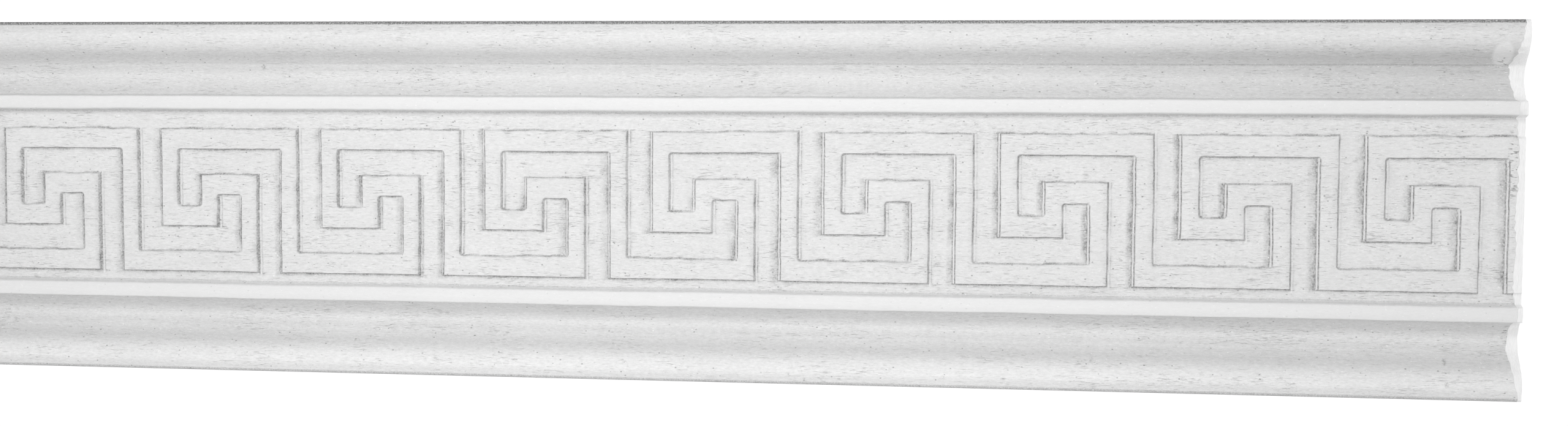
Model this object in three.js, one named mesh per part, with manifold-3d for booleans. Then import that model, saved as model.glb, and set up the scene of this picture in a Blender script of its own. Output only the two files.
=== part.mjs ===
// Flat wooden moulding with a Greek key frieze, primed white and sawn square at both ends.
// Millimetres. X runs along the length, Z across the width and up, the front faces -Y.
// The origin is the middle of the flat back, which lies in the plane Y = 0.
import * as THREE from 'three';
import { mergeVertices } from 'three/addons/utils/BufferGeometryUtils.js';
import Module from 'manifold-3d';

// The strip as a whole
const length = 360;
const width = 82;
const thickness = 14;

// Rolled rim along both long edges: a small outer arris, a crown, then an ovolo that falls inward
// and ends in a straight flank at the tilt it has reached, given in degrees
const arrisRadius = 0.9;
const rimShoulder = 0.35;
const crownFromEdge = 3;
const ovoloRun = 6.6;
const ovoloRadius = 5.86;
const ovoloTilt = 46.5;

// Cove between the rim and the fillet, with its lowest line set back from the front
const coveRadius = 6;
const coveDepth = 5.1;

// Flat raised fillet beside the frieze
const filletFromEdge = 17.1;
const filletWidth = 2.95;
const filletDepth = 1;
const filletOuterDraft = 0.35;
const filletInnerDraft = 0.9;

// Sunk field and the key that stands up from it
const fieldDepth = 3;
const keyRelief = 0.7;
const keyDraft = 0.5;
const keyRoot = 0.2;
const keyOffset = -0.95;
const uprightWidth = 3.63;
const uprightGap = 6.22;
const railHeight = 4.43;
const railGap = 6.3;
const slotEndGap = 3.08;
const innerCornerRadius = 0.85;
const lengthOfKeyAtSaw = 0.83;

// Fineness of the round stretches
const arrisSteps = 4;
const crownSteps = 3;
const ovoloSteps = 12;
const coveSteps = 14;
const cornerSteps = 3;

// Points closer together than this are one corner of a mesh
const weldDistance = 1e-5;

const pitch = 4 * (uprightWidth + uprightGap);
const keyHeight = 4 * railHeight + 2 * railGap + slotEndGap;

// Points of a circular arc, from one angle to another, without its first point
function arcPoints(centreX, centreY, radius, from, to, steps) {
  const points = [];
  for (let step = 1; step <= steps; step += 1) {
    const angle = from + ((to - from) * step) / steps;
    points.push([centreX + radius * Math.cos(angle), centreY + radius * Math.sin(angle)]);
  }
  return points;
}

// One half of the front as [distance from the edge, depth below the crown], from the side face inward
function halfFront() {
  const points = [[0, rimShoulder + arrisRadius]];
  points.push(...arcPoints(arrisRadius, rimShoulder + arrisRadius, arrisRadius,
    Math.PI, 1.5 * Math.PI, arrisSteps));
  for (let step = 1; step <= crownSteps; step += 1) {
    const share = step / crownSteps;
    const rise = Math.sin(share * Math.PI / 2);
    points.push([arrisRadius + (crownFromEdge - arrisRadius) * share, rimShoulder * (1 - rise)]);
  }
  const ovoloSweep = THREE.MathUtils.degToRad(ovoloTilt);
  points.push(...arcPoints(crownFromEdge, ovoloRadius, ovoloRadius,
    -Math.PI / 2, -Math.PI / 2 + ovoloSweep, ovoloSteps));
  const [flankStart, flankDepth] = points.at(-1);
  const kink = crownFromEdge + ovoloRun;
  const kinkDepth = flankDepth + (kink - flankStart) * Math.tan(ovoloSweep);
  points.push([kink, kinkDepth]);
  const coveCentreDepth = coveDepth - coveRadius;
  const coveStart = Math.acos(Math.min(1, (kinkDepth - coveCentreDepth) / coveRadius));
  const coveLine = kink + coveRadius * Math.sin(coveStart);
  const coveEnd = Math.asin(Math.min(1, (filletFromEdge - coveLine) / coveRadius));
  points.push(...arcPoints(coveLine, coveCentreDepth, coveRadius,
    Math.PI / 2 + coveStart, Math.PI / 2 - coveEnd, coveSteps));
  points.push([filletFromEdge + filletOuterDraft, filletDepth]);
  points.push([filletFromEdge + filletWidth, filletDepth]);
  points.push([filletFromEdge + filletWidth + filletInnerDraft, fieldDepth]);
  return points;
}

// The section extruded along X: section x becomes Z, section y becomes the height above the back
function mouldingBody() {
  const half = halfFront();
  const upper = half.map(([inward, depth]) => [width / 2 - inward, thickness - depth]);
  const lower = half.map(([inward, depth]) => [inward - width / 2, thickness - depth]);
  const outline = [[width / 2, 0], ...upper, ...lower.reverse(), [-width / 2, 0]];
  const shape = new THREE.Shape(outline.map(([x, y]) => new THREE.Vector2(x, y)));
  const geometry = new THREE.ExtrudeGeometry(shape, { depth: length, bevelEnabled: false });
  geometry.applyMatrix4(new THREE.Matrix4().set(
    0, 0, 1, -length / 2,
    0, -1, 0, 0,
    1, 0, 0, 0,
    0, 0, 0, 1,
  ));
  return geometry;
}

// Middle line of one key, from the foot of the riser before it to the top of its own riser.
// Uprights stand in numbered columns, four to a key.
function keyMiddleLine(firstColumn) {
  const lastUpright = length / 2 - lengthOfKeyAtSaw * pitch + uprightWidth / 2;
  const column = (number) => lastUpright + (firstColumn + number) * pitch / 4;
  const top = keyOffset + keyHeight / 2 - railHeight / 2;
  const innerTop = top - railHeight - railGap;
  const innerBottom = innerTop - railHeight - slotEndGap;
  const bottom = innerBottom - railHeight - railGap;
  return [
    [column(-1), bottom],
    [column(2), bottom],
    [column(2), innerTop],
    [column(1), innerTop],
    [column(1), innerBottom],
    [column(0), innerBottom],
    [column(0), top],
    [column(3), top],
  ];
}

// One side of the band at a corner, from its middle line: sharp outside, rounded inside
function bandCorner(before, corner, after, side) {
  const into = [Math.sign(corner[0] - before[0]), Math.sign(corner[1] - before[1])];
  const out = [Math.sign(after[0] - corner[0]), Math.sign(after[1] - corner[1])];
  const x = corner[0] - side * (into[1] + out[1]) * uprightWidth / 2;
  const z = corner[1] + side * (into[0] + out[0]) * railHeight / 2;
  const turn = into[0] * out[1] - into[1] * out[0];
  if (turn * side < 0) {
    return [[x, z]];
  }
  const centreX = x + (out[0] - into[0]) * innerCornerRadius;
  const centreZ = z + (out[1] - into[1]) * innerCornerRadius;
  const from = Math.atan2(-out[1], -out[0]);
  const points = [[x - into[0] * innerCornerRadius, z - into[1] * innerCornerRadius]];
  points.push(...arcPoints(centreX, centreZ, innerCornerRadius,
    from, from + turn * Math.PI / 2, cornerSteps));
  return points;
}

// The whole key band as a drafted ridge, one continuous ribbon that turns in on itself in each key
function keyBand() {
  const keysAcross = Math.ceil(length / pitch) + 1;
  const line = [];
  for (let key = -keysAcross; key <= 1; key += 1) {
    line.push(...keyMiddleLine(4 * key));
  }
  const oneSide = [];
  const otherSide = [];
  for (let index = 1; index < line.length - 1; index += 1) {
    oneSide.push(...bandCorner(line[index - 1], line[index], line[index + 1], 1));
    otherSide.push(...bandCorner(line[index - 1], line[index], line[index + 1], -1));
  }
  const outline = [...oneSide, ...otherSide.reverse()];
  const shape = new THREE.Shape(outline.map(([x, z]) => new THREE.Vector2(x, z)));
  const ridge = keyRelief + keyRoot;
  const geometry = new THREE.ExtrudeGeometry(shape, {
    depth: keyRoot,
    bevelEnabled: true,
    bevelSegments: 1,
    bevelThickness: ridge,
    bevelSize: keyDraft * ridge / keyRelief,
  });
  geometry.rotateX(Math.PI / 2);
  const top = thickness - fieldDepth + keyRelief;
  geometry.translate(0, ridge + keyRoot - top, 0);
  return geometry;
}

const wasm = await Module();
wasm.setup();

function toSolid(geometry) {
  const bare = geometry.clone();
  bare.deleteAttribute('normal');
  bare.deleteAttribute('uv');
  const merged = mergeVertices(bare.index ? bare.toNonIndexed() : bare, weldDistance);
  return new wasm.Manifold(new wasm.Mesh({
    numProp: 3,
    vertProperties: new Float32Array(merged.attributes.position.array),
    triVerts: new Uint32Array(merged.index.array),
  }));
}

function toGeometry(solid) {
  const mesh = solid.getMesh();
  const geometry = new THREE.BufferGeometry();
  geometry.setAttribute('position', new THREE.BufferAttribute(new Float32Array(mesh.vertProperties), 3));
  geometry.setIndex(new THREE.BufferAttribute(new Uint32Array(mesh.triVerts), 1));
  geometry.computeVertexNormals();
  return geometry;
}

// The part of the band that lies between the two saw cuts
function sawnBand() {
  const between = new THREE.BoxGeometry(length, 2 * thickness, width);
  return toSolid(keyBand()).intersect(toSolid(between));
}

const primedWood = new THREE.MeshStandardMaterial({ color: 0xe9e9e7, roughness: 0.75, metalness: 0 });
primedWood.name = 'primed_wood';

const moulding = new THREE.Mesh(toGeometry(toSolid(mouldingBody()).add(sawnBand())), primedWood);
moulding.name = 'moulding';

const group = new THREE.Group();
group.name = 'greek_key_moulding';
group.add(moulding);

export default group;
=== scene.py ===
import math

import bpy
import numpy as np
from mathutils import Matrix, Vector


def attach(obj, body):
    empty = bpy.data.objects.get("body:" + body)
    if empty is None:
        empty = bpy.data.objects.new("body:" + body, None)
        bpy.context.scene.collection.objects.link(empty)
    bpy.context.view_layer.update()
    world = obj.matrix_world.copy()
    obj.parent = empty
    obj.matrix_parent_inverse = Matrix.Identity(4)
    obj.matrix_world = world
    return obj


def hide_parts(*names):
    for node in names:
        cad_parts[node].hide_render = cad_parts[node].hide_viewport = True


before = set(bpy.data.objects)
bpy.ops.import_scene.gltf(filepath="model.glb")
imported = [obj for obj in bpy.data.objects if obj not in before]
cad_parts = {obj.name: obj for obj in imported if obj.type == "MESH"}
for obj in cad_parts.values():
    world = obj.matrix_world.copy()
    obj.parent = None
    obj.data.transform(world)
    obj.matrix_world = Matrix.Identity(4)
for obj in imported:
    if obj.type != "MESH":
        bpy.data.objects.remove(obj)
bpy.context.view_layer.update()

# Lengths are in millimetres and become metres when a mesh is made
MM = 0.001

# The strip, with the same sizes as the solid
LENGTH = 360.0
WIDTH = 82.0
THICKNESS = 14.0
ARRIS_RADIUS = 0.9
RIM_SHOULDER = 0.35
CROWN_FROM_EDGE = 3.0
OVOLO_RUN = 6.6
OVOLO_RADIUS = 5.86
OVOLO_TILT = 46.5
COVE_RADIUS = 6.0
COVE_DEPTH = 5.1
FILLET_FROM_EDGE = 17.1
FILLET_WIDTH = 2.95
FILLET_DEPTH = 1.0
FILLET_OUTER_DRAFT = 0.35
FILLET_INNER_DRAFT = 0.9
FIELD_DEPTH = 3.0

# The key band, with the same sizes as the solid
KEY_RELIEF = 0.7
KEY_OFFSET = -0.95
UPRIGHT_WIDTH = 3.63
UPRIGHT_GAP = 6.22
RAIL_HEIGHT = 4.43
RAIL_GAP = 6.3
SLOT_END_GAP = 3.08
INNER_CORNER_RADIUS = 0.85
LENGTH_OF_KEY_AT_SAW = 0.83
COLUMN_STEP = UPRIGHT_WIDTH + UPRIGHT_GAP
PITCH = 4 * COLUMN_STEP
KEY_HEIGHT = 4 * RAIL_HEIGHT + 2 * RAIL_GAP + SLOT_END_GAP

LEFT_END = -LENGTH / 2
RIGHT_END = LENGTH / 2
ENDS = [LEFT_END, RIGHT_END]

# Fineness of the round stretches
ARRIS_STEPS = 8
CROWN_STEPS = 4
OVOLO_STEPS = 12
COVE_STEPS = 16

# Softened edges of the fillet: distance inward from the sharp edge, depth, polish, and grime with painted
# shade
FILLET_OUTER_EDGE = [
    (-0.08, FILLET_DEPTH + 0.18, 0.7, 0.1),
    (0.05, FILLET_DEPTH + 0.04, 1.0, 0.0),
    (0.22, FILLET_DEPTH, 1.0, 0.0),
]
FILLET_INNER_EDGE = [
    (-0.05, FILLET_DEPTH, 1.0, 0.0),
    (0.18, FILLET_DEPTH + 0.05, 0.95, 0.0),
    (0.32, FILLET_DEPTH + 0.2, 0.6, 0.0),
    (0.46, FIELD_DEPTH - 1.2, 0.1, 0.25),
    (0.62, FIELD_DEPTH - 0.75, 0.1, 0.35),
    (FILLET_INNER_DRAFT - 0.12, FIELD_DEPTH - 0.16, 0.0, 0.5),
    (FILLET_INNER_DRAFT + 0.08, FIELD_DEPTH, 0.0, 0.4),
]
LOWER_FILLET_SPREAD = 0.28

# Brightness of the primer by distance from the long edge: partly its own white, partly painted shade on
# the slopes and in the hollows and painted light on the crown and the fillets
TONE_FROM_EDGE = [0.0, 1.5, 3.0, 5.0, 6.5, 8.0, 9.6, 11.0, 12.6, 14.5, 16.5, 17.6, 19.5, 20.5, 22.0]
TONE_LIGHT_AND_SHADE = [1.0, 0.98, 1.09, 1.04, 0.95, 0.85, 0.93, 0.89, 0.98, 0.91, 0.86, 1.03, 1.03, 1.0, 1.0]

# Share of the brightness that painted shade takes: towards both ends, on the upper slope towards
# the right-hand end, and on the upper crown. The heights are those between which the last two grow and
# fade.
END_SHADE = 0.06
SLOPE_SHADE = 0.14
CROWN_SHADE = 0.08
SLOPE_HEIGHTS = [24.0, 28.5, 33.0, 38.5]
CROWN_HEIGHTS = [32.0, 36.5, 39.0, 41.0]

# Grime and painted shade on the arris, at the foot of the fillet and at the kink between ovolo and
# cove. The kink's grows along the strip, and the lower half shows less of all of it.
ARRIS_GRIME_AND_SHADE = 1.35
ARRIS_SHADE_REACH = 0.82
ARRIS_SHADE_FADE = 0.12
FILLET_FOOT_GRIME_AND_SHADE = 0.28
KINK_GRIME_AND_SHADE = 0.5
KINK_SHADE_ALONG = [0.1, 1.2]
LOWER_EDGE_GRIME_AND_SHADE = 0.4
LOWER_WALL_GRIME_AND_SHADE = 0.25

# Each wall of the band as distances outward from its arris, heights above the field there, and how
# much grime the primer shows there, with painted shade in the creases and painted shadow beside the walls
WALL_UP = {
    "out": [-0.2, -0.05, 0.1, 0.28, 0.42, 0.75],
    "height": [KEY_RELIEF, 0.68, 0.52, 0.16, 0.0, 0.0],
    "grime_and_shade": [0.0, 0.1, 0.5, 0.8, 0.5, 0.0],
}
WALL_DOWN = {
    "out": [-0.15, -0.03, 0.09, 0.22, 0.4, 0.7, 1.15],
    "height": [KEY_RELIEF, 0.68, 0.3, 0.06, 0.02, 0.0, 0.0],
    "grime_and_shade": [0.0, 0.2, 1.0, 0.8, 0.42, 0.18, 0.0],
}
WALL_LEFT = {
    "out": [-0.15, -0.03, 0.07, 0.19, 0.3, 0.58, 0.7, 0.84, 1.05, 1.5, 2.2, 2.9],
    "height": [KEY_RELIEF, 0.68, 0.4, 0.3, 0.42, 0.36, 0.1, 0.03, 0.06, 0.03, 0.0, 0.0],
    "grime_and_shade": [0.0, 0.1, 1.0, 0.9, 0.05, 0.1, 1.0, 0.9, 0.62, 0.42, 0.18, 0.0],
}
WALL_RIGHT = {
    "out": [-0.18, -0.04, 0.09, 0.27, 0.45, 0.62, 0.86, 1.08, 1.4],
    "height": [KEY_RELIEF, 0.67, 0.42, 0.1, -0.09, -0.04, 0.1, 0.08, 0.0],
    "grime_and_shade": [0.1, 0.4, 0.7, 0.8, 0.9, 0.8, 0.25, 0.0, 0.0],
}
WALL_REACH = 3.0

# Factors at the left-hand and the right-hand end: grime, painted shade and width of the walls that
# face right, the painted shadow beside the walls that face left, and the painted shade under the
# rails. Shadow and shade begin at the distance outward from the arris that follows them.
RIGHT_WALL_GRIME_AND_SHADE = [1.25, 0.75]
RIGHT_WALL_WIDTH = [1.35, 1.0]
PAINTED_SHADOW_BY_LEFT_WALL = [0.5, 1.15]
PAINTED_SHADOW_FROM = 0.78
SHADE_UNDER_RAIL = [1.25, 0.7]
SHADE_FROM = 0.3

# Painted shade on the ledge in the walls that face left: its stretch across the wall, and its
# strength at the left-hand end, from which it fades out a little beyond the middle of the strip
LEDGE_OUT = [0.02, 0.1, 0.66, 0.78]
LEDGE_SHADE = 1.0
LEDGE_SHADE_END = 30.0

# Uneven edges that the embossing roller left on the band, the unevenness of the saw cuts, which
# fades out over their reach, and the slight swell of the profile and of the field
EDGE_WAVE = 0.07
TOP_WAVE = 0.16
LONG_WAVE = 0.1
SAG_WAVE = LONG_WAVE * 0.6
SAW_WAVE = 0.12
SAW_REACH = 3.0
PROFILE_SWELL = 0.05
FIELD_SWELL = 0.03

# Where the saw tore the primer off, the front steps down to the bare core. The widths of the bare
# strip belong to heights above the middle of the strip.
LAST_COLUMN = RIGHT_END - 0.3
TORN_FOOT = RIGHT_END - 0.15
TORN_STEP_WIDTH = 0.1
TORN_STEP_DEPTH = 0.16
TORN_END_DROP = 0.06
TORN_WAVE = 0.3
TORN_HEIGHTS = [-41.0, -38.0, -35.0, -31.4, -28.0, -23.6, -21.0, -20.0, 0.0,
                20.0, 21.0, 23.0, 24.5, 28.4, 31.4, 34.0, 38.0, 41.0]
TORN_WIDTHS = [0.7, 1.1, 1.7, 2.7, 2.5, 1.4, 1.3, 1.8, 1.8,
               1.9, 1.7, 1.6, 2.1, 3.1, 3.5, 2.5, 1.6, 1.4]

# The mesh grid. Uprights are counted from the first one of the last key. The profiles use every
# fourth column of the field and the last few. Extra columns stand at these distances before the
# last painted one. Edges sharper than the angle, in degrees, stay sharp.
FIRST_UPRIGHT = -40
LAST_UPRIGHT = 7
COARSE_STEP = 4
COLUMNS_BEFORE_END = [0.12, 0.3, 0.55, 0.85, 1.2, 1.6, 2.05]
LEAST_COLUMN_GAP = 0.07
LEAST_ROW_GAP = 0.1
SHARP_ANGLE = 42.0

# Finishes of the faces, in the order of the piece's materials
FRONT, SIDE, END, BACK, TORN = range(5)

# Marks on the front as place and half sizes: flecks at the torn end, dirty smudges, a filled dent
END_FLECKS = [(177.4, 10.0, 1.4, 9.0), (177.6, -27.0, 1.5, 2.6), (175.0, 31.6, 1.8, 1.3)]
SMUDGES = [(164.2, -33.0, 0.6, 1.0), (164.3, -37.5, 0.6, 0.8), (-104.1, 30.3, 0.8, 0.75)]
FILLED_DENT = (174.6, 33.6, 2.4, 3.0)

# Greys of the primer, of what is in and on it, of painted shade, and of the torn core
PRIMER_GREYS = (0.81, 0.84)
STREAK_GREY = 0.74
WORN_GREY = 0.84
FILLER_GREY = 0.88
PORE_GREY = 0.4
DIRT_AND_SHADE_GREY = 0.2
SPARKLE_GREY = 0.96
CORE_GREYS = (0.88, 0.97)

# Heights in millimetres of the fine relief: the primer's grain, pores and streaks, the torn core's
# fibres and the grain of the raw wood
GRAIN_BUMP = 0.035
PORE_BUMP = 0.05
STREAK_BUMP = 0.03
CORE_BUMP = 0.06
RAW_BUMP = 0.12

# Bare wood: pale and dark colour, size of the grain along x, y and z, and roughness
RAW_WOODS = {
    # The long sides get a much darker wood than the back and the ends
    "raw_side": ((0.5, 0.46, 0.4, 1), (0.31, 0.28, 0.24, 1), (9.0, 1.2, 1.2), 0.85),
    "end_grain": ((0.72, 0.67, 0.59, 1), (0.52, 0.46, 0.38, 1), (0.5, 0.5, 0.35), 0.9),
    "raw_back": ((0.66, 0.61, 0.54, 1), (0.52, 0.46, 0.38, 1), (26.0, 1.0, 0.9), 0.85),
}

# Camera fitted to the photograph's straight lines: place, angles in degrees and focal length
CAMERA_PLACE = (75.51, -423.26, 20.69)
CAMERA_YAW = 7.696
CAMERA_PITCH = 3.166
CAMERA_ROLL = 0.275
CAMERA_LENS = 42.28
SENSOR_WIDTH = 36.0

# The studio, in metres and watts
LIGHTS = [
    {"name": "front_box", "place": (-0.02, -0.68, 0.06), "target": (-0.02, 0, 0),
     "size": (0.2, 0.2), "power": 1.02},
    {"name": "upper_box", "place": (-0.02, -0.6, 0.45), "target": (-0.02, 0, 0),
     "size": (0.3, 0.2), "power": 1.7},
    {"name": "top_box", "place": (0.0, -0.5, 1.1), "target": (0, 0, 0),
     "size": (1.4, 0.5), "power": 1.8},
    {"name": "left_box", "place": (-1.2, -0.7, 0.2), "target": (-0.1, 0, 0),
     "size": (0.5, 0.9), "power": 0.9},
]
WORLD_HORIZON = 0.8
WORLD_CEILING = 0.1
WORLD_BEHIND = 1.05
FLOOR_HEIGHT = -0.3
FLOOR_REACH = 5.0
FLOOR_BACK = 1.2
FLOOR_GREY = 0.8

# Lattice noise is the same on every run. Each name gets its table when it is first used.
NOISE_SEED = 20
NOISE_CELLS = 256
noise_tables = {}


def smooth_noise(name, x, z, size_x, size_z):
    """Soft random values from -1 to 1 with bumps of the given sizes."""
    if name not in noise_tables:
        generator = np.random.default_rng(NOISE_SEED + len(noise_tables))
        noise_tables[name] = generator.uniform(-1.0, 1.0, (NOISE_CELLS, NOISE_CELLS))
    table = noise_tables[name]
    u = np.asarray(x, float) / size_x
    v = np.asarray(z, float) / size_z
    column = np.floor(u).astype(int)
    row = np.floor(v).astype(int)
    u = u - column
    v = v - row
    u = u * u * (3 - 2 * u)
    v = v * v * (3 - 2 * v)
    left = column % NOISE_CELLS
    right = (column + 1) % NOISE_CELLS
    low = row % NOISE_CELLS
    high = (row + 1) % NOISE_CELLS
    near = table[left, low] * (1 - u) + table[right, low] * u
    far = table[left, high] * (1 - u) + table[right, high] * u
    return near * (1 - v) + far * v


def noise_up(name, z, line, size):
    """Soft random values that change with the height alone, along one line of a noise table."""
    return smooth_noise(name, z * 0 + line, z, 1.0, size)


def sign(value):
    """The sign of a number, with nothing for rounding errors."""
    if abs(value) < 1e-6:
        return 0
    return 1 if value > 0 else -1


def arc_points(centre_x, centre_y, radius, start, end, steps):
    """Points of an arc after its first point."""
    points = []
    for step in range(1, steps + 1):
        angle = start + (end - start) * step / steps
        points.append((centre_x + radius * math.cos(angle), centre_y + radius * math.sin(angle)))
    return points


def rim_points():
    """Arris, crown and ovolo, down to the kink where the cove begins."""
    points = [(0.0, RIM_SHOULDER + ARRIS_RADIUS, 0.0, 1.0)]
    for x, y in arc_points(ARRIS_RADIUS, RIM_SHOULDER + ARRIS_RADIUS, ARRIS_RADIUS,
                           math.pi, 1.5 * math.pi, ARRIS_STEPS):
        # Grime and painted shade darken the arris
        grime_and_shade = min(ARRIS_GRIME_AND_SHADE, max(0.0, (ARRIS_SHADE_REACH - x) / ARRIS_SHADE_FADE))
        points.append((x, y, 0.0, grime_and_shade))
    for step in range(1, CROWN_STEPS + 1):
        share = step / CROWN_STEPS
        rise = math.sin(share * math.pi / 2)
        inward = ARRIS_RADIUS + (CROWN_FROM_EDGE - ARRIS_RADIUS) * share
        points.append((inward, RIM_SHOULDER * (1 - rise), 0.0, 0.0))
    sweep = math.radians(OVOLO_TILT)
    for x, y in arc_points(CROWN_FROM_EDGE, OVOLO_RADIUS, OVOLO_RADIUS,
                           -math.pi / 2, -math.pi / 2 + sweep, OVOLO_STEPS):
        points.append((x, y, 0.0, 0.0))
    arc_end, arc_depth = points[-1][:2]
    kink = CROWN_FROM_EDGE + OVOLO_RUN
    kink_depth = arc_depth + (kink - arc_end) * math.tan(sweep)
    for share in (0.35, 0.7, 0.93):
        points.append((arc_end + (kink - arc_end) * share,
                       arc_depth + (kink_depth - arc_depth) * share, 0.0, 0.0))
    # Grime and painted shade at the kink
    points.append((kink, kink_depth, 0.0, KINK_GRIME_AND_SHADE))
    return points


def half_front(fillet_spread):
    """Half of the section from the side face inward: distance from the edge, depth, polish, grime and
    painted shade.

    The fillet's outer edge stands out by the spread.
    """
    points = rim_points()
    kink, kink_depth = points[-1][:2]
    cove_centre = COVE_DEPTH - COVE_RADIUS
    cove_start = math.acos((kink_depth - cove_centre) / COVE_RADIUS)
    cove_line = kink + COVE_RADIUS * math.sin(cove_start)
    cove_end = math.asin((FILLET_FROM_EDGE - cove_line) / COVE_RADIUS)
    for x, y in arc_points(cove_line, cove_centre, COVE_RADIUS,
                           math.pi / 2 + cove_start, math.pi / 2 - cove_end, COVE_STEPS):
        points.append((x, y, 0.0, 0.0))
    foot = points.pop()[1]
    outer = FILLET_FROM_EDGE + FILLET_OUTER_DRAFT - fillet_spread
    inner = FILLET_FROM_EDGE + FILLET_WIDTH
    # Grime and painted shade at the foot of the fillet
    points.append((FILLET_FROM_EDGE, foot, 0.0, FILLET_FOOT_GRIME_AND_SHADE))
    points.append((FILLET_FROM_EDGE + 0.04, foot - 0.3, 0.2, FILLET_FOOT_GRIME_AND_SHADE))
    points.extend((outer + inward, depth, polish, grime_and_shade)
                  for inward, depth, polish, grime_and_shade in FILLET_OUTER_EDGE)
    points.append(((outer + inner) / 2, FILLET_DEPTH, 1.0, 0.0))
    points.extend((inner + inward, depth, polish, grime_and_shade)
                  for inward, depth, polish, grime_and_shade in FILLET_INNER_EDGE)
    return points


def key_middle_line(first_column):
    """Corners of one key's middle line, as in the solid."""
    last_upright = RIGHT_END - LENGTH_OF_KEY_AT_SAW * PITCH + UPRIGHT_WIDTH / 2
    top = KEY_OFFSET + KEY_HEIGHT / 2 - RAIL_HEIGHT / 2
    inner_top = top - RAIL_HEIGHT - RAIL_GAP
    inner_bottom = inner_top - RAIL_HEIGHT - SLOT_END_GAP
    bottom = inner_bottom - RAIL_HEIGHT - RAIL_GAP
    columns = [-1, 2, 2, 1, 1, 0, 0, 3]
    heights = [bottom, bottom, inner_top, inner_top, inner_bottom, inner_bottom, top, top]
    line = []
    for column, height in zip(columns, heights):
        line.append((last_upright + (first_column + column) * COLUMN_STEP, height))
    return line


def band_line():
    """Middle line of the whole band, which runs past both saw cuts."""
    keys = math.ceil(LENGTH / PITCH) + 1
    line = []
    for key in range(-keys, 2):
        line.extend(key_middle_line(4 * key))
    return line


def band_parts():
    """Rectangles of the band, and its inside corners with the two ways into the open angle."""
    line = band_line()
    half_x = UPRIGHT_WIDTH / 2
    half_z = RAIL_HEIGHT / 2
    bars = []
    for (x0, z0), (x1, z1) in zip(line, line[1:]):
        low_x = min(x0, x1) - half_x
        high_x = max(x0, x1) + half_x
        low_z = min(z0, z1) - half_z
        high_z = max(z0, z1) + half_z
        if high_x > LEFT_END - PITCH and low_x < RIGHT_END + PITCH:
            bars.append((low_x, high_x, low_z, high_z))
    corners = []
    for before, corner, after in zip(line, line[1:], line[2:]):
        to_x = sign(before[0] - corner[0]) + sign(after[0] - corner[0])
        to_z = sign(before[1] - corner[1]) + sign(after[1] - corner[1])
        if to_x and to_z:
            corners.append((corner[0] + to_x * half_x, corner[1] + to_z * half_z, to_x, to_z))
    return bars, corners


def along_wall(wall, key, distance):
    """Height, or grime and painted shade, of a wall at a distance outward from its arris."""
    return np.interp(distance, wall["out"], wall[key])


def raise_bar(height, grime_and_shade, x, z, wave, bar):
    """Adds one rectangle of the band, with its four walls, to the relief."""
    low_x, high_x, low_z, high_z = bar
    near = (x > low_x - WALL_REACH) & (x < high_x + WALL_REACH)
    near = near & (z > low_z - WALL_REACH) & (z < high_z + WALL_REACH)
    if not near.any():
        return
    to_left = low_x - x[near]
    to_right = (x[near] - high_x) / np.interp(x[near], ENDS, RIGHT_WALL_WIDTH)
    down = low_z - z[near]
    up = z[near] - high_z - wave[near]
    faces = [(WALL_LEFT, to_left), (WALL_RIGHT, to_right), (WALL_DOWN, down), (WALL_UP, up)]
    heights = np.stack([along_wall(wall, "height", out) for wall, out in faces])
    grimes_and_shades = np.stack([along_wall(wall, "grime_and_shade", out) for wall, out in faces])
    # Painted shade on the ledge of the walls that face left, strongest at the left-hand end
    on_ledge = np.interp(to_left, LEDGE_OUT, [0.0, 1.0, 1.0, 0.0])
    ledge = on_ledge * np.interp(x[near], [LEFT_END, LEDGE_SHADE_END], [LEDGE_SHADE, 0.0])
    # Painted shadow beside the walls that face left, and painted shade under the rails, change along the
    # strip
    painted_shadow = np.interp(x[near], ENDS, PAINTED_SHADOW_BY_LEFT_WALL)
    shade = np.interp(x[near], ENDS, SHADE_UNDER_RAIL)
    grimes_and_shades[0] = np.maximum(grimes_and_shades[0] * np.where(to_left > PAINTED_SHADOW_FROM, painted_shadow, 1.0), ledge)
    grimes_and_shades[1] = grimes_and_shades[1] * np.interp(x[near], ENDS, RIGHT_WALL_GRIME_AND_SHADE)
    grimes_and_shades[2] = grimes_and_shades[2] * np.where(down > SHADE_FROM, shade, 1.0)
    lowest = heights.argmin(axis=0)
    here = np.take_along_axis(heights, lowest[None], 0)[0]
    dirt_and_shade = np.take_along_axis(grimes_and_shades, lowest[None], 0)[0]
    before = height[near]
    wins = (here > before) | ((here == before) & (here != 0))
    height[near] = np.where(wins, here, before)
    grime_and_shade[near] = np.where(wins, dirt_and_shade, grime_and_shade[near])


def raise_corner(height, grime_and_shade, x, z, corner):
    """Rounds one inside corner of the band in the relief."""
    corner_x, corner_z, to_x, to_z = corner
    reach_x = (x - corner_x) * to_x
    reach_z = (z - corner_z) * to_z
    near = (reach_x > -0.3) & (reach_x < INNER_CORNER_RADIUS)
    near = near & (reach_z > -0.3) & (reach_z < INNER_CORNER_RADIUS)
    if not near.any():
        return
    from_x = x[near] - (corner_x + to_x * INNER_CORNER_RADIUS)
    from_z = z[near] - (corner_z + to_z * INNER_CORNER_RADIUS)
    out = INNER_CORNER_RADIUS - np.hypot(from_x, from_z)
    side_wall = WALL_RIGHT if to_x > 0 else WALL_LEFT
    rail_wall = WALL_UP if to_z > 0 else WALL_DOWN
    turn = np.arctan2(np.abs(from_z), np.abs(from_x)) / (math.pi / 2)
    here = along_wall(side_wall, "height", out) * (1 - turn)
    here = here + along_wall(rail_wall, "height", out) * turn
    dirt_and_shade = along_wall(side_wall, "grime_and_shade", out) * (1 - turn)
    dirt_and_shade = dirt_and_shade + along_wall(rail_wall, "grime_and_shade", out) * turn
    wins = here > height[near]
    height[near] = np.where(wins, here, height[near])
    grime_and_shade[near] = np.where(wins, dirt_and_shade, grime_and_shade[near])


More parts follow.
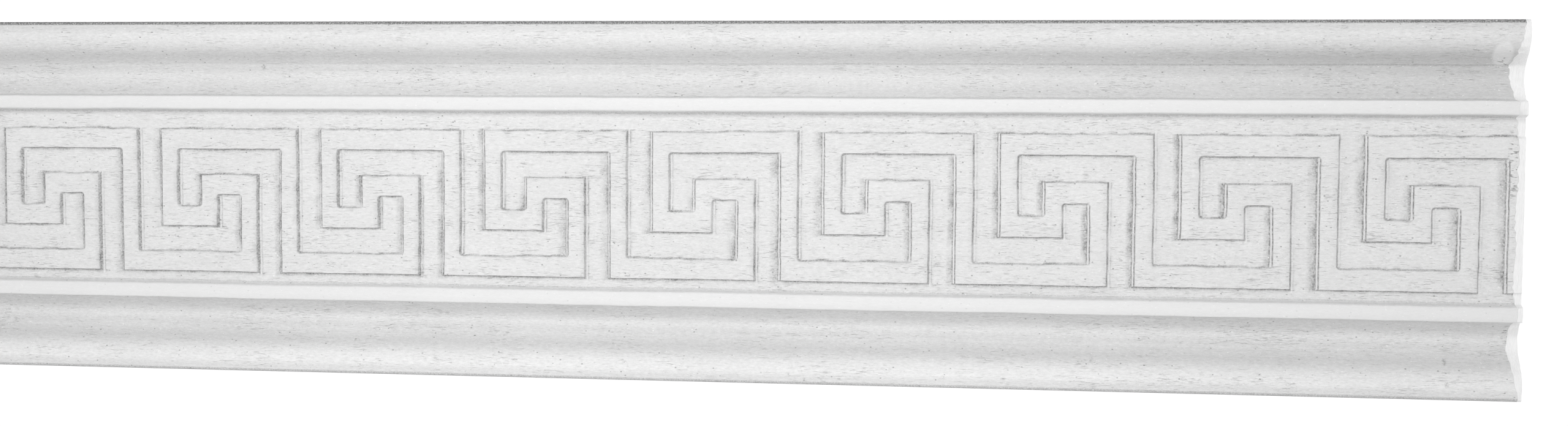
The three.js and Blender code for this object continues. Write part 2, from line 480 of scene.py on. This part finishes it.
def band_relief(x, z):
    """Height of the band above the field, and its grime and painted shade, at flat arrays of points."""
    height = np.zeros_like(x)
    grime_and_shade = np.zeros_like(x)
    wave = TOP_WAVE * smooth_noise("top wave", x, z, 2.2, 9.0)
    bars, corners = band_parts()
    for bar in bars:
        raise_bar(height, grime_and_shade, x, z, wave, bar)
    for corner in corners:
        raise_corner(height, grime_and_shade, x, z, corner)
    return height, grime_and_shade


def thinned(lines, low, high, least):
    """Sorted grid lines between two ends, none closer together than the least gap."""
    inside = sorted(line for line in lines if low + least < line < high - least)
    kept = [low]
    for line in inside:
        if line - kept[-1] >= least:
            kept.append(line)
    return np.array(kept + [high])


def grid_columns():
    """Grid lines across the length, close together at the edges of the uprights."""
    lines = []
    first = RIGHT_END - LENGTH_OF_KEY_AT_SAW * PITCH
    left_reach = WALL_LEFT["out"][-1]
    right_reach = WALL_RIGHT["out"][-1]
    for number in range(FIRST_UPRIGHT, LAST_UPRIGHT + 1):
        left = first + number * COLUMN_STEP
        right = left + UPRIGHT_WIDTH
        lines.extend(left - out for out in WALL_LEFT["out"])
        lines.extend(right + out for out in WALL_RIGHT["out"])
        lines.extend(left + UPRIGHT_WIDTH * share for share in (0.34, 0.67))
        lines.append(right + right_reach + (UPRIGHT_GAP - right_reach - left_reach) / 2)
    lines = [line for line in lines if line < LAST_COLUMN - 0.05]
    lines.extend([LEFT_END + 0.15, LEFT_END + 0.5])
    lines.extend(LAST_COLUMN - inset for inset in COLUMNS_BEFORE_END)
    lines.extend([LAST_COLUMN, TORN_FOOT])
    return thinned(lines, LEFT_END, RIGHT_END, LEAST_COLUMN_GAP)


def grid_rows(low, high):
    """Grid lines across the sunk field, close together at the edges of the rails."""
    lines = []
    for z in sorted({round(point[1], 6) for point in key_middle_line(0)}):
        top = z + RAIL_HEIGHT / 2
        bottom = z - RAIL_HEIGHT / 2
        lines.extend(top + out for out in WALL_UP["out"])
        lines.extend(bottom - out for out in WALL_DOWN["out"])
        lines.extend(bottom + RAIL_HEIGHT * share for share in (0.28, 0.5, 0.72))
        lines.extend(top + RAIL_GAP * share for share in (0.35, 0.6))
        lines.append(top + SLOT_END_GAP * 0.45)
    lines.extend([low + 0.25, high - 0.25, low + 0.9, high - 0.9])
    return thinned(lines, low, high, LEAST_ROW_GAP)


def torn_width(z):
    """How far from the right-hand end the primer stops, at each height."""
    usual = np.interp(z, TORN_HEIGHTS, TORN_WIDTHS)
    uneven = TORN_WAVE * noise_up("tear", z, 5, 0.8)
    uneven = uneven + TORN_WAVE * noise_up("long tear", z, 7, 4.0)
    return np.clip(usual + uneven, 0.35, 5.0)


def torn_depth(x, z):
    """How much deeper the bare strip at the end lies than the painted front beside it."""
    off_paint = np.clip((x - LAST_COLUMN) / (TORN_FOOT - LAST_COLUMN), 0.0, 1.0)
    at_end = np.clip((x - TORN_FOOT) / (RIGHT_END - TORN_FOOT), 0.0, 1.0)
    rough = 1.0 + 0.5 * noise_up("break", z, 9, 1.1)
    return (off_paint * TORN_STEP_DEPTH + at_end * TORN_END_DROP) * rough


def moved(x, z):
    """The same points with the band's edges and the saw cuts uneven, and the last columns at the tear."""
    inside = np.clip((RIGHT_END - np.abs(x)) / SAW_REACH, 0.0, 1.0)
    new_x = x + inside * EDGE_WAVE * smooth_noise("edge x", x, z, 3.1, 1.7)
    new_x = new_x + inside * LONG_WAVE * smooth_noise("lean x", x, z, 21.0, 9.0)
    new_z = z + EDGE_WAVE * smooth_noise("edge z", x, z, 1.9, 3.3)
    new_z = new_z + SAG_WAVE * smooth_noise("sag z", x, z, 17.0, 11.0)
    end = (1 - inside) * SAW_WAVE * (noise_up("saw", z, 3, 1.3) + 1) / 2
    new_x = new_x - np.sign(x) * end
    painted_end = RIGHT_END - torn_width(z)
    pulled_from = RIGHT_END - 1.15 * torn_width(z) - 0.4
    reach = np.clip((x - pulled_from) / (LAST_COLUMN - pulled_from), 0.0, 1.0)
    pulled = pulled_from + (painted_end - pulled_from) * reach
    pulled = np.where(x > LAST_COLUMN + 0.01, painted_end + TORN_STEP_WIDTH, pulled)
    new_x = np.where((x > pulled_from) & (x < TORN_FOOT + 0.01), pulled, new_x)
    return new_x, new_z


def patchy(grime_and_shade, x, z):
    """Faint grime and painted shade in patches; strong lines stay."""
    patch = 0.95 + 0.9 * smooth_noise("patch", x, z, 1.6, 2.4)
    faint = grime_and_shade * np.clip(patch, 0.0, 2.0)
    strength = np.clip((grime_and_shade - 0.65) / 0.3, 0.0, 1.0)
    return faint * (1 - strength) + grime_and_shade * strength


def painted_shade_share(x, z):
    """Share of the brightness that painted shade leaves, growing from x = 40 to 170 and from -60 to -170.
    """
    to_right = np.clip((x - 40.0) / 130.0, 0.0, 1.0)
    to_left = np.clip((-x - 60.0) / 110.0, 0.0, 1.0)
    upper_slope = np.interp(z, SLOPE_HEIGHTS, [0.0, 1.0, 1.0, 0.0])
    upper_crown = np.interp(z, CROWN_HEIGHTS, [0.0, 0.6, 1.0, 1.0])
    lit_share = (1 - END_SHADE * (to_left + to_right)) * (1 - SLOPE_SHADE * to_right * upper_slope)
    return lit_share * (1 - CROWN_SHADE * upper_crown)


def front_y(depth):
    """Place across the thickness of a depth below the crown."""
    return -(THICKNESS - depth)


class Skin:
    """Vertices, faces and surface values of one closed mesh."""

    def __init__(self):
        self.places = []
        self.polish = []
        self.grime_and_shade = []
        self.tone = []
        self.faces = []
        self.finish = []
        self.smooth = []
        self.count = 0

    def add(self, x, y, z, polish, grime_and_shade):
        """Adds points and returns their numbers in the same shape."""
        x, y, z, polish, grime_and_shade = np.broadcast_arrays(x, y, z, polish, grime_and_shade)
        numbers = np.arange(x.size).reshape(x.shape) + self.count
        self.places.append(np.stack([x.ravel(), y.ravel(), z.ravel()], axis=1))
        self.polish.append(np.ravel(polish))
        self.grime_and_shade.append(np.ravel(grime_and_shade))
        edge = WIDTH / 2 - np.abs(z.ravel())
        # Primer brightness with painted light and shade by distance from the edge, times painted shade
        # along the strip
        self.tone.append(np.interp(edge, TONE_FROM_EDGE, TONE_LIGHT_AND_SHADE) * painted_shade_share(x.ravel(), z.ravel()))
        self.count += x.size
        return numbers

    def face(self, corners, finish):
        """Adds one face. Only the painted front is smooth."""
        self.faces.append([int(corner) for corner in corners])
        self.finish.append(finish)
        self.smooth.append(finish == FRONT)

    def front(self, numbers):
        """Quads over a block of points whose rows go up and whose columns go right.

        The last two columns of quads are the torn edge and the bare strip of the right-hand end.
        """
        quads = np.stack([numbers[:-1, :-1], numbers[:-1, 1:], numbers[1:, 1:], numbers[1:, :-1]], axis=-1)
        for quad in quads[:, :-2].reshape(-1, 4).tolist():
            self.face(quad, FRONT)
        for quad in quads[:, -2:].reshape(-1, 4).tolist():
            self.face(quad, TORN)


def field_block(skin, columns, rows, border_grime_and_shade):
    """Points of the sunk field with the key band on it."""
    grid_x, grid_z = np.meshgrid(columns, rows)
    height, grime_and_shade = band_relief(grid_x.ravel(), grid_z.ravel())
    height = height.reshape(grid_x.shape)
    grime_and_shade = patchy(grime_and_shade.reshape(grid_x.shape), grid_x, grid_z)
    new_x, new_z = moved(grid_x, grid_z)
    y = front_y(FIELD_DEPTH) - height
    y = y + FIELD_SWELL * smooth_noise("field", grid_x, grid_z, 9.0, 4.0)
    y = y + torn_depth(grid_x, grid_z)
    border = np.zeros_like(grime_and_shade)
    border[0] = border_grime_and_shade
    border[-1] = border_grime_and_shade
    return skin.add(new_x, y, new_z, 0.0, np.maximum(grime_and_shade, border))


def profile_block(skin, columns, half, side):
    """Points of the rim, cove and fillet on one side, from the side face inward."""
    inward, depth, polish, grime_and_shade = np.array(half).T
    grid_x, grid_z = np.meshgrid(columns, side * (WIDTH / 2 - inward))
    new_x, new_z = moved(grid_x, grid_z)
    off_edge = np.clip(inward / 2.0, 0.0, 1.0)[:, None]
    new_z = grid_z + (new_z - grid_z) * off_edge
    swell = PROFILE_SWELL * smooth_noise("swell", grid_x, grid_z, 14.0, 5.0) * off_edge
    y = front_y(depth)[:, None] + np.abs(swell)
    y = y + torn_depth(grid_x, grid_z)
    grime_and_shade = np.broadcast_to(grime_and_shade[:, None], grid_x.shape)
    at_kink = np.isclose(inward, CROWN_FROM_EDGE + OVOLO_RUN)[:, None]
    # Painted shade at the kink grows along the strip
    grime_and_shade = np.where(at_kink, grime_and_shade * np.interp(grid_x, ENDS, KINK_SHADE_ALONG), grime_and_shade)
    # The lower half shows less grime and painted shade
    if side < 0:
        at_rim = (inward < CROWN_FROM_EDGE)[:, None]
        grime_and_shade = grime_and_shade * np.where(at_rim, LOWER_EDGE_GRIME_AND_SHADE, LOWER_WALL_GRIME_AND_SHADE)
    return skin.add(new_x, y, new_z, polish[:, None], grime_and_shade)


def sew_to_field(skin, coarse, lower, field, upper):
    """Faces between the fine columns of the field and the coarse columns of both profiles."""
    for left in range(len(coarse) - 1):
        right = left + 1
        fine = list(range(coarse[left], coarse[right] + 1))
        finish = TORN if right > len(coarse) - 3 else FRONT
        skin.face([lower[-1, left], lower[-1, right], *field[0, fine[::-1]]], finish)
        skin.face([*field[-1, fine], upper[-1, right], upper[-1, left]], finish)


def close_behind(skin, lower, field, upper, heights):
    """The two ends, the flat back and the two long sides."""
    outline_left = [*lower[:, 0], *field[:, 0], *upper[::-1, 0]]
    outline_right = [*lower[:, -1], *field[:, -1], *upper[::-1, -1]]
    back_left = skin.add(LEFT_END, 0.0, heights, 0.0, 0.0)
    back_right = skin.add(RIGHT_END, 0.0, heights, 0.0, 0.0)
    for row in range(len(heights) - 1):
        above = row + 1
        skin.face([back_left[row], outline_left[row], outline_left[above], back_left[above]], END)
        skin.face([outline_right[row], back_right[row], back_right[above], outline_right[above]], END)
        skin.face([back_right[row], back_left[row], back_left[above], back_right[above]], BACK)
    skin.face([back_left[0], back_right[0], *lower[0, ::-1]], SIDE)
    skin.face([*upper[0], back_right[-1], back_left[-1]], SIDE)


def make_moulding():
    """The whole strip as one closed mesh."""
    skin = Skin()
    columns = grid_columns()
    whole = len(columns)
    coarse = np.unique([*range(0, whole, COARSE_STEP), whole - 6, whole - 3, whole - 2, whole - 1])
    upper_half = half_front(0.0)
    lower_half = half_front(LOWER_FILLET_SPREAD)
    lower_half.pop()
    foot = upper_half.pop()
    high = WIDTH / 2 - foot[0]
    rows = grid_rows(-high, high)
    field = field_block(skin, columns, rows, foot[3])
    upper = profile_block(skin, columns[coarse], upper_half, 1)
    lower = profile_block(skin, columns[coarse], lower_half, -1)
    skin.front(field)
    skin.front(lower)
    skin.front(upper[::-1])
    sew_to_field(skin, coarse, lower, field, upper)
    heights = [point[0] - WIDTH / 2 for point in lower_half]
    heights.extend(rows)
    heights.extend(WIDTH / 2 - point[0] for point in reversed(upper_half))
    close_behind(skin, lower, field, upper, np.array(heights))
    return skin


def mesh_object(skin, name):
    """A Blender object of the skin, in metres, with its surface values as attributes."""
    mesh = bpy.data.meshes.new(name)
    places = np.concatenate(skin.places) * MM
    mesh.from_pydata(places.tolist(), [], skin.faces)
    for title, values in (("polish", skin.polish), ("grime_and_shade", skin.grime_and_shade), ("tone", skin.tone)):
        layer = mesh.attributes.new(title, "FLOAT", "POINT")
        layer.data.foreach_set("value", np.concatenate(values).astype(np.float32))
    mesh.polygons.foreach_set("material_index", skin.finish)
    mesh.polygons.foreach_set("use_smooth", skin.smooth)
    mesh.update()
    mesh.set_sharp_from_angle(angle=math.radians(SHARP_ANGLE))
    made = bpy.data.objects.new(name, mesh)
    bpy.context.scene.collection.objects.link(made)
    return made


def new_material(name):
    """A material with nothing but a principled shader, its node tree and that shader."""
    material = bpy.data.materials.new(name)
    material.use_nodes = True
    tree = material.node_tree
    tree.nodes.clear()
    shader = tree.nodes.new("ShaderNodeBsdfPrincipled")
    output = tree.nodes.new("ShaderNodeOutputMaterial")
    tree.links.new(shader.outputs["BSDF"], output.inputs["Surface"])
    return material, tree, shader


def grey(level):
    """A grey colour."""
    return (level, level, level, 1.0)


class Nodes:
    """Short ways to place shader nodes. A value is a number, a colour or another node's output."""

    def __init__(self, tree):
        self.tree = tree
        self.place = tree.nodes.new("ShaderNodeTexCoord").outputs["Object"]

    def node(self, kind, **inputs):
        """A new node with values on its inputs, where _ stands for a space in an input's name."""
        made = self.tree.nodes.new(kind)
        for name, value in inputs.items():
            self.put(made.inputs[name.replace("_", " ")], value)
        return made

    def put(self, socket, value):
        """Links an output to an input, or sets a plain value there."""
        if isinstance(value, bpy.types.NodeSocket):
            self.tree.links.new(value, socket)
        else:
            socket.default_value = value

    def scaled(self, x, y, z):
        """Object coordinates counted in grains of the given sizes in millimetres."""
        made = self.node("ShaderNodeMapping", Vector=self.place)
        made.inputs["Scale"].default_value = (1 / (x * MM), 1 / (y * MM), 1 / (z * MM))
        return made.outputs["Vector"]

    def noise(self, x, y, z, detail=2.0, roughness=0.5):
        """Noise from 0 to 1 with grains of the given sizes in millimetres."""
        made = self.node("ShaderNodeTexNoise", Vector=self.scaled(x, y, z), Scale=1.0,
                         Detail=detail, Roughness=roughness)
        return made.outputs["Fac"]

    def cells(self, x, y, z):
        """Distance from the middle of the nearest cell, as a share of the given cell sizes."""
        made = self.node("ShaderNodeTexVoronoi", Vector=self.scaled(x, y, z), Scale=1.0)
        return made.outputs["Distance"]

    def band(self, value, low, high, to_low=0.0, to_high=1.0):
        """Value stretched from one range to another and clamped."""
        made = self.node("ShaderNodeMapRange", Value=value)
        made.inputs["From Min"].default_value = low
        made.inputs["From Max"].default_value = high
        made.inputs["To Min"].default_value = to_low
        made.inputs["To Max"].default_value = to_high
        return made.outputs["Result"]

    def sum(self, kind, first, second):
        """Two values joined by one kind of arithmetic."""
        made = self.tree.nodes.new("ShaderNodeMath")
        made.operation = kind
        self.put(made.inputs[0], first)
        self.put(made.inputs[1], second)
        return made.outputs[0]

    def blend(self, share, first, second):
        """A colour between two colours."""
        made = self.tree.nodes.new("ShaderNodeMix")
        made.data_type = "RGBA"
        self.put(made.inputs[0], share)
        self.put(made.inputs[6], first)
        self.put(made.inputs[7], second)
        return made.outputs[2]

    def stain(self, colour, value, strength, level):
        """A colour drawn towards a grey where the value is high."""
        return self.blend(self.sum("MULTIPLY", value, strength), colour, grey(level))

    def shade(self, colour, level):
        """A colour made darker or lighter by a number."""
        made = self.tree.nodes.new("ShaderNodeVectorMath")
        made.operation = "SCALE"
        self.put(made.inputs["Vector"], colour)
        self.put(made.inputs["Scale"], level)
        return made.outputs["Vector"]

    def spot(self, x, z, half_x, half_z, soft=0.5):
        """One at a place on the front, given in millimetres, and nothing beyond its half sizes."""
        made = self.node("ShaderNodeMapping", Vector=self.place)
        made.inputs["Scale"].default_value = (1 / (half_x * MM), 0.0, 1 / (half_z * MM))
        made.inputs["Location"].default_value = (-x / half_x, 0.0, -z / half_z)
        length = self.tree.nodes.new("ShaderNodeVectorMath")
        length.operation = "LENGTH"
        self.put(length.inputs[0], made.outputs["Vector"])
        return self.band(length.outputs["Value"], 1.0, 1.0 - soft)

    def value_of(self, name):
        """A surface value that the mesh carries."""
        made = self.tree.nodes.new("ShaderNodeAttribute")
        made.attribute_name = name
        return made.outputs["Fac"]

    def bump(self, height, distance, normal=None):
        """A normal bent by a height from 0 to 1, worth the given millimetres, over another normal."""
        made = self.node("ShaderNodeBump", Height=height, Distance=distance * MM)
        made.inputs["Strength"].default_value = 1.0
        if normal is not None:
            self.tree.links.new(normal, made.inputs["Normal"])
        return made.outputs["Normal"]


def primer_pores(n, rough_spots):
    """Short pores along the grain, closer together in some areas."""
    cells = n.noise(2.0, 0.8, 0.16, detail=3.0, roughness=0.7)
    areas = n.noise(12.0, 6.0, 4.0, detail=1.0)
    level = n.sum("ADD", cells, n.sum("MULTIPLY", n.sum("SUBTRACT", areas, 0.5), 0.22))
    return n.sum("MULTIPLY", n.band(level, 0.61, 0.74), rough_spots)


def primer_specks(n, rough_spots):
    """Small dark specks in some of the cells."""
    picked = n.band(n.noise(1.9, 1.9, 1.3, detail=0.0), 0.52, 0.62)
    specks = n.sum("MULTIPLY", n.band(n.cells(1.7, 1.7, 1.2), 0.17, 0.08), picked)
    return n.sum("MULTIPLY", specks, rough_spots)


def primer_dirt_and_shade(n, grime_and_shade):
    """Gritty grime and painted shade along the walls, flecks at the torn end and a few smudges."""
    grit = n.noise(0.34, 0.34, 0.4, detail=2.0)
    dirt_and_shade = n.sum("MULTIPLY", grime_and_shade, n.band(grit, 0.32, 0.66, 0.35, 1.0))
    flecks = n.band(n.noise(1.3, 0.6, 0.32, detail=2.0), 0.54, 0.62)
    for fleck in END_FLECKS:
        dirt_and_shade = n.sum("MAXIMUM", dirt_and_shade, n.sum("MULTIPLY", n.spot(*fleck), flecks))
    crumbs = n.band(grit, 0.42, 0.6, 0.15, 0.8)
    for smudge in SMUDGES:
        dirt_and_shade = n.sum("MAXIMUM", dirt_and_shade, n.sum("MULTIPLY", n.spot(*smudge, 0.9), crumbs))
    return dirt_and_shade


def primer_material():
    """Matt white primer over open-pored wood, worn smooth on the fillets."""
    material, tree, shader = new_material("primer")
    n = Nodes(tree)
    polish = n.value_of("polish")
    rough_spots = n.sum("SUBTRACT", 1.0, n.sum("MULTIPLY", polish, 0.75))
    pores = primer_pores(n, rough_spots)
    streaks = n.noise(9.0, 1.2, 0.28, detail=3.0)
    clouds = n.noise(26.0, 26.0, 11.0, detail=2.0)
    mottle = n.band(n.noise(1.0, 0.6, 0.36, detail=4.0, roughness=0.75), 0.25, 0.75, -0.13, 0.1)
    sparkle = n.band(n.noise(0.55, 0.4, 0.26, detail=0.0), 0.8, 0.84)
    dark, light = PRIMER_GREYS
    tone = n.blend(n.band(clouds, 0.3, 0.7), grey(dark), grey(light))
    tone = n.stain(tone, n.band(streaks, 0.4, 0.75), 0.28, STREAK_GREY)
    tone = n.stain(tone, polish, 0.8, WORN_GREY)
    # The primer is darkened and lightened here by the painted light and shade that the mesh carries
    tone = n.shade(tone, n.value_of("tone"))
    tone = n.shade(tone, n.sum("ADD", 1.0, n.sum("MULTIPLY", mottle, rough_spots)))
    tone = n.stain(tone, n.spot(*FILLED_DENT, 0.25), 0.5, FILLER_GREY)
    tone = n.stain(tone, pores, 0.4, PORE_GREY)
    # The mesh's grime value darkens the primer with real grime and with painted shade and shadow
    tone = n.stain(tone, primer_dirt_and_shade(n, n.value_of("grime_and_shade")), 0.9, DIRT_AND_SHADE_GREY)
    tone = n.stain(tone, primer_specks(n, rough_spots), 0.6, DIRT_AND_SHADE_GREY)
    tone = n.stain(tone, sparkle, 0.6, SPARKLE_GREY)
    n.put(shader.inputs["Base Color"], tone)
    n.put(shader.inputs["Roughness"], n.band(polish, 0.0, 1.0, 0.72, 0.5))
    shader.inputs["Specular IOR Level"].default_value = 0.35
    grain = n.noise(0.8, 0.35, 0.2, detail=3.0)
    normal = n.bump(n.sum("MULTIPLY", grain, rough_spots), GRAIN_BUMP)
    normal = n.bump(n.sum("SUBTRACT", 1.0, pores), PORE_BUMP, normal)
    normal = n.bump(streaks, STREAK_BUMP, normal)
    n.put(shader.inputs["Normal"], normal)
    return material


def torn_material():
    """Bare near-white core with fibres torn upright by the saw."""
    material, tree, shader = new_material("torn_core")
    n = Nodes(tree)
    fibres = n.noise(0.16, 0.5, 2.2, detail=3.0, roughness=0.6)
    dark, light = CORE_GREYS
    n.put(shader.inputs["Base Color"], n.blend(n.band(fibres, 0.35, 0.65), grey(dark), grey(light)))
    shader.inputs["Roughness"].default_value = 0.9
    shader.inputs["Specular IOR Level"].default_value = 0.2
    n.put(shader.inputs["Normal"], n.bump(fibres, CORE_BUMP))
    return material


def raw_material(name):
    """Bare wood that took a thin wash of primer."""
    pale, dark, grain, roughness = RAW_WOODS[name]
    material, tree, shader = new_material(name)
    n = Nodes(tree)
    streaks = n.noise(*grain, detail=4.0, roughness=0.6)
    patches = n.noise(18.0, 9.0, 7.0, detail=2.0)
    share = n.sum("ADD", n.sum("MULTIPLY", streaks, 0.7), n.sum("MULTIPLY", patches, 0.3))
    n.put(shader.inputs["Base Color"], n.blend(n.band(share, 0.36, 0.64), dark, pale))
    shader.inputs["Roughness"].default_value = roughness
    shader.inputs["Specular IOR Level"].default_value = 0.25
    n.put(shader.inputs["Normal"], n.bump(streaks, RAW_BUMP))
    return material


def place_camera():
    """The camera at its fitted place and angles."""
    yaw = math.radians(CAMERA_YAW)
    pitch = math.radians(CAMERA_PITCH)
    roll = math.radians(CAMERA_ROLL)
    turn_z = Matrix(((math.cos(roll), -math.sin(roll), 0), (math.sin(roll), math.cos(roll), 0), (0, 0, 1)))
    turn_x = Matrix(((1, 0, 0), (0, math.cos(pitch), -math.sin(pitch)),
                     (0, math.sin(pitch), math.cos(pitch))))
    turn_y = Matrix(((math.cos(yaw), 0, math.sin(yaw)), (0, 1, 0), (-math.sin(yaw), 0, math.cos(yaw))))
    seen = turn_z @ turn_x @ turn_y
    # The fit counts right, down and away; the frame counts right, away and up
    to_frame = Matrix(((1, 0, 0), (0, 0, 1), (0, -1, 0)))
    right, down, away = (to_frame @ seen[row] for row in range(3))
    data = bpy.data.cameras.new("camera")
    data.lens = CAMERA_LENS
    data.sensor_width = SENSOR_WIDTH
    data.clip_start = 0.01
    camera = bpy.data.objects.new("camera", data)
    bpy.context.scene.collection.objects.link(camera)
    axes = Matrix((right, -down, -away)).transposed()
    camera.matrix_world = Matrix.Translation(Vector(CAMERA_PLACE) * MM) @ axes.to_4x4()
    bpy.context.scene.camera = camera


def area_light(name, place, target, size, power):
    """A soft box that points at its target."""
    data = bpy.data.lights.new(name, "AREA")
    data.shape = "RECTANGLE"
    data.size, data.size_y = size
    data.energy = power
    light = bpy.data.objects.new(name, data)
    bpy.context.scene.collection.objects.link(light)
    light.location = place
    direction = Vector(target) - Vector(place)
    light.rotation_mode = "QUATERNION"
    light.rotation_quaternion = direction.to_track_quat("-Z", "Y")


def make_world():
    """Plain white behind the part; in front of it a pale horizon under a dim ceiling."""
    world = bpy.data.worlds.new("studio")
    world.use_nodes = True
    tree = world.node_tree
    n = Nodes(tree)
    direction = tree.nodes.new("ShaderNodeTexCoord").outputs["Generated"]
    split = n.node("ShaderNodeSeparateXYZ", Vector=direction)
    tilt = n.sum("ABSOLUTE", split.outputs["Z"], 0.0)
    in_front = n.band(tilt, 0.15, 0.4, WORLD_HORIZON, WORLD_CEILING)
    behind = n.band(split.outputs["Y"], -0.1, 0.2)
    level = n.sum("ADD", in_front, n.sum("MULTIPLY", behind, n.sum("SUBTRACT", WORLD_BEHIND, in_front)))
    background = tree.nodes["Background"]
    background.inputs["Color"].default_value = (1, 1, 1, 1)
    tree.links.new(level, background.inputs["Strength"])
    bpy.context.scene.world = world


def make_floor():
    """A plain pale floor well below the part."""
    mesh = bpy.data.meshes.new("floor")
    corners = [(-FLOOR_REACH, -FLOOR_REACH), (FLOOR_REACH, -FLOOR_REACH),
               (FLOOR_REACH, FLOOR_BACK), (-FLOOR_REACH, FLOOR_BACK)]
    mesh.from_pydata([(x, y, FLOOR_HEIGHT) for x, y in corners], [], [(0, 1, 2, 3)])
    floor = bpy.data.objects.new("floor", mesh)
    bpy.context.scene.collection.objects.link(floor)
    material, tree, shader = new_material("floor")
    shader.inputs["Base Color"].default_value = grey(FLOOR_GREY)
    shader.inputs["Roughness"].default_value = 0.9
    mesh.materials.append(material)


piece = mesh_object(make_moulding(), "moulding_skin")
piece.data.materials.append(primer_material())
for wood in RAW_WOODS:
    piece.data.materials.append(raw_material(wood))
piece.data.materials.append(torn_material())
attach(piece, "root")
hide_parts("moulding")

make_world()
make_floor()
place_camera()
for light in LIGHTS:
    area_light(**light)

bpy.context.scene.view_settings.view_transform = "Standard"
bpy.context.scene.view_settings.look = "None"
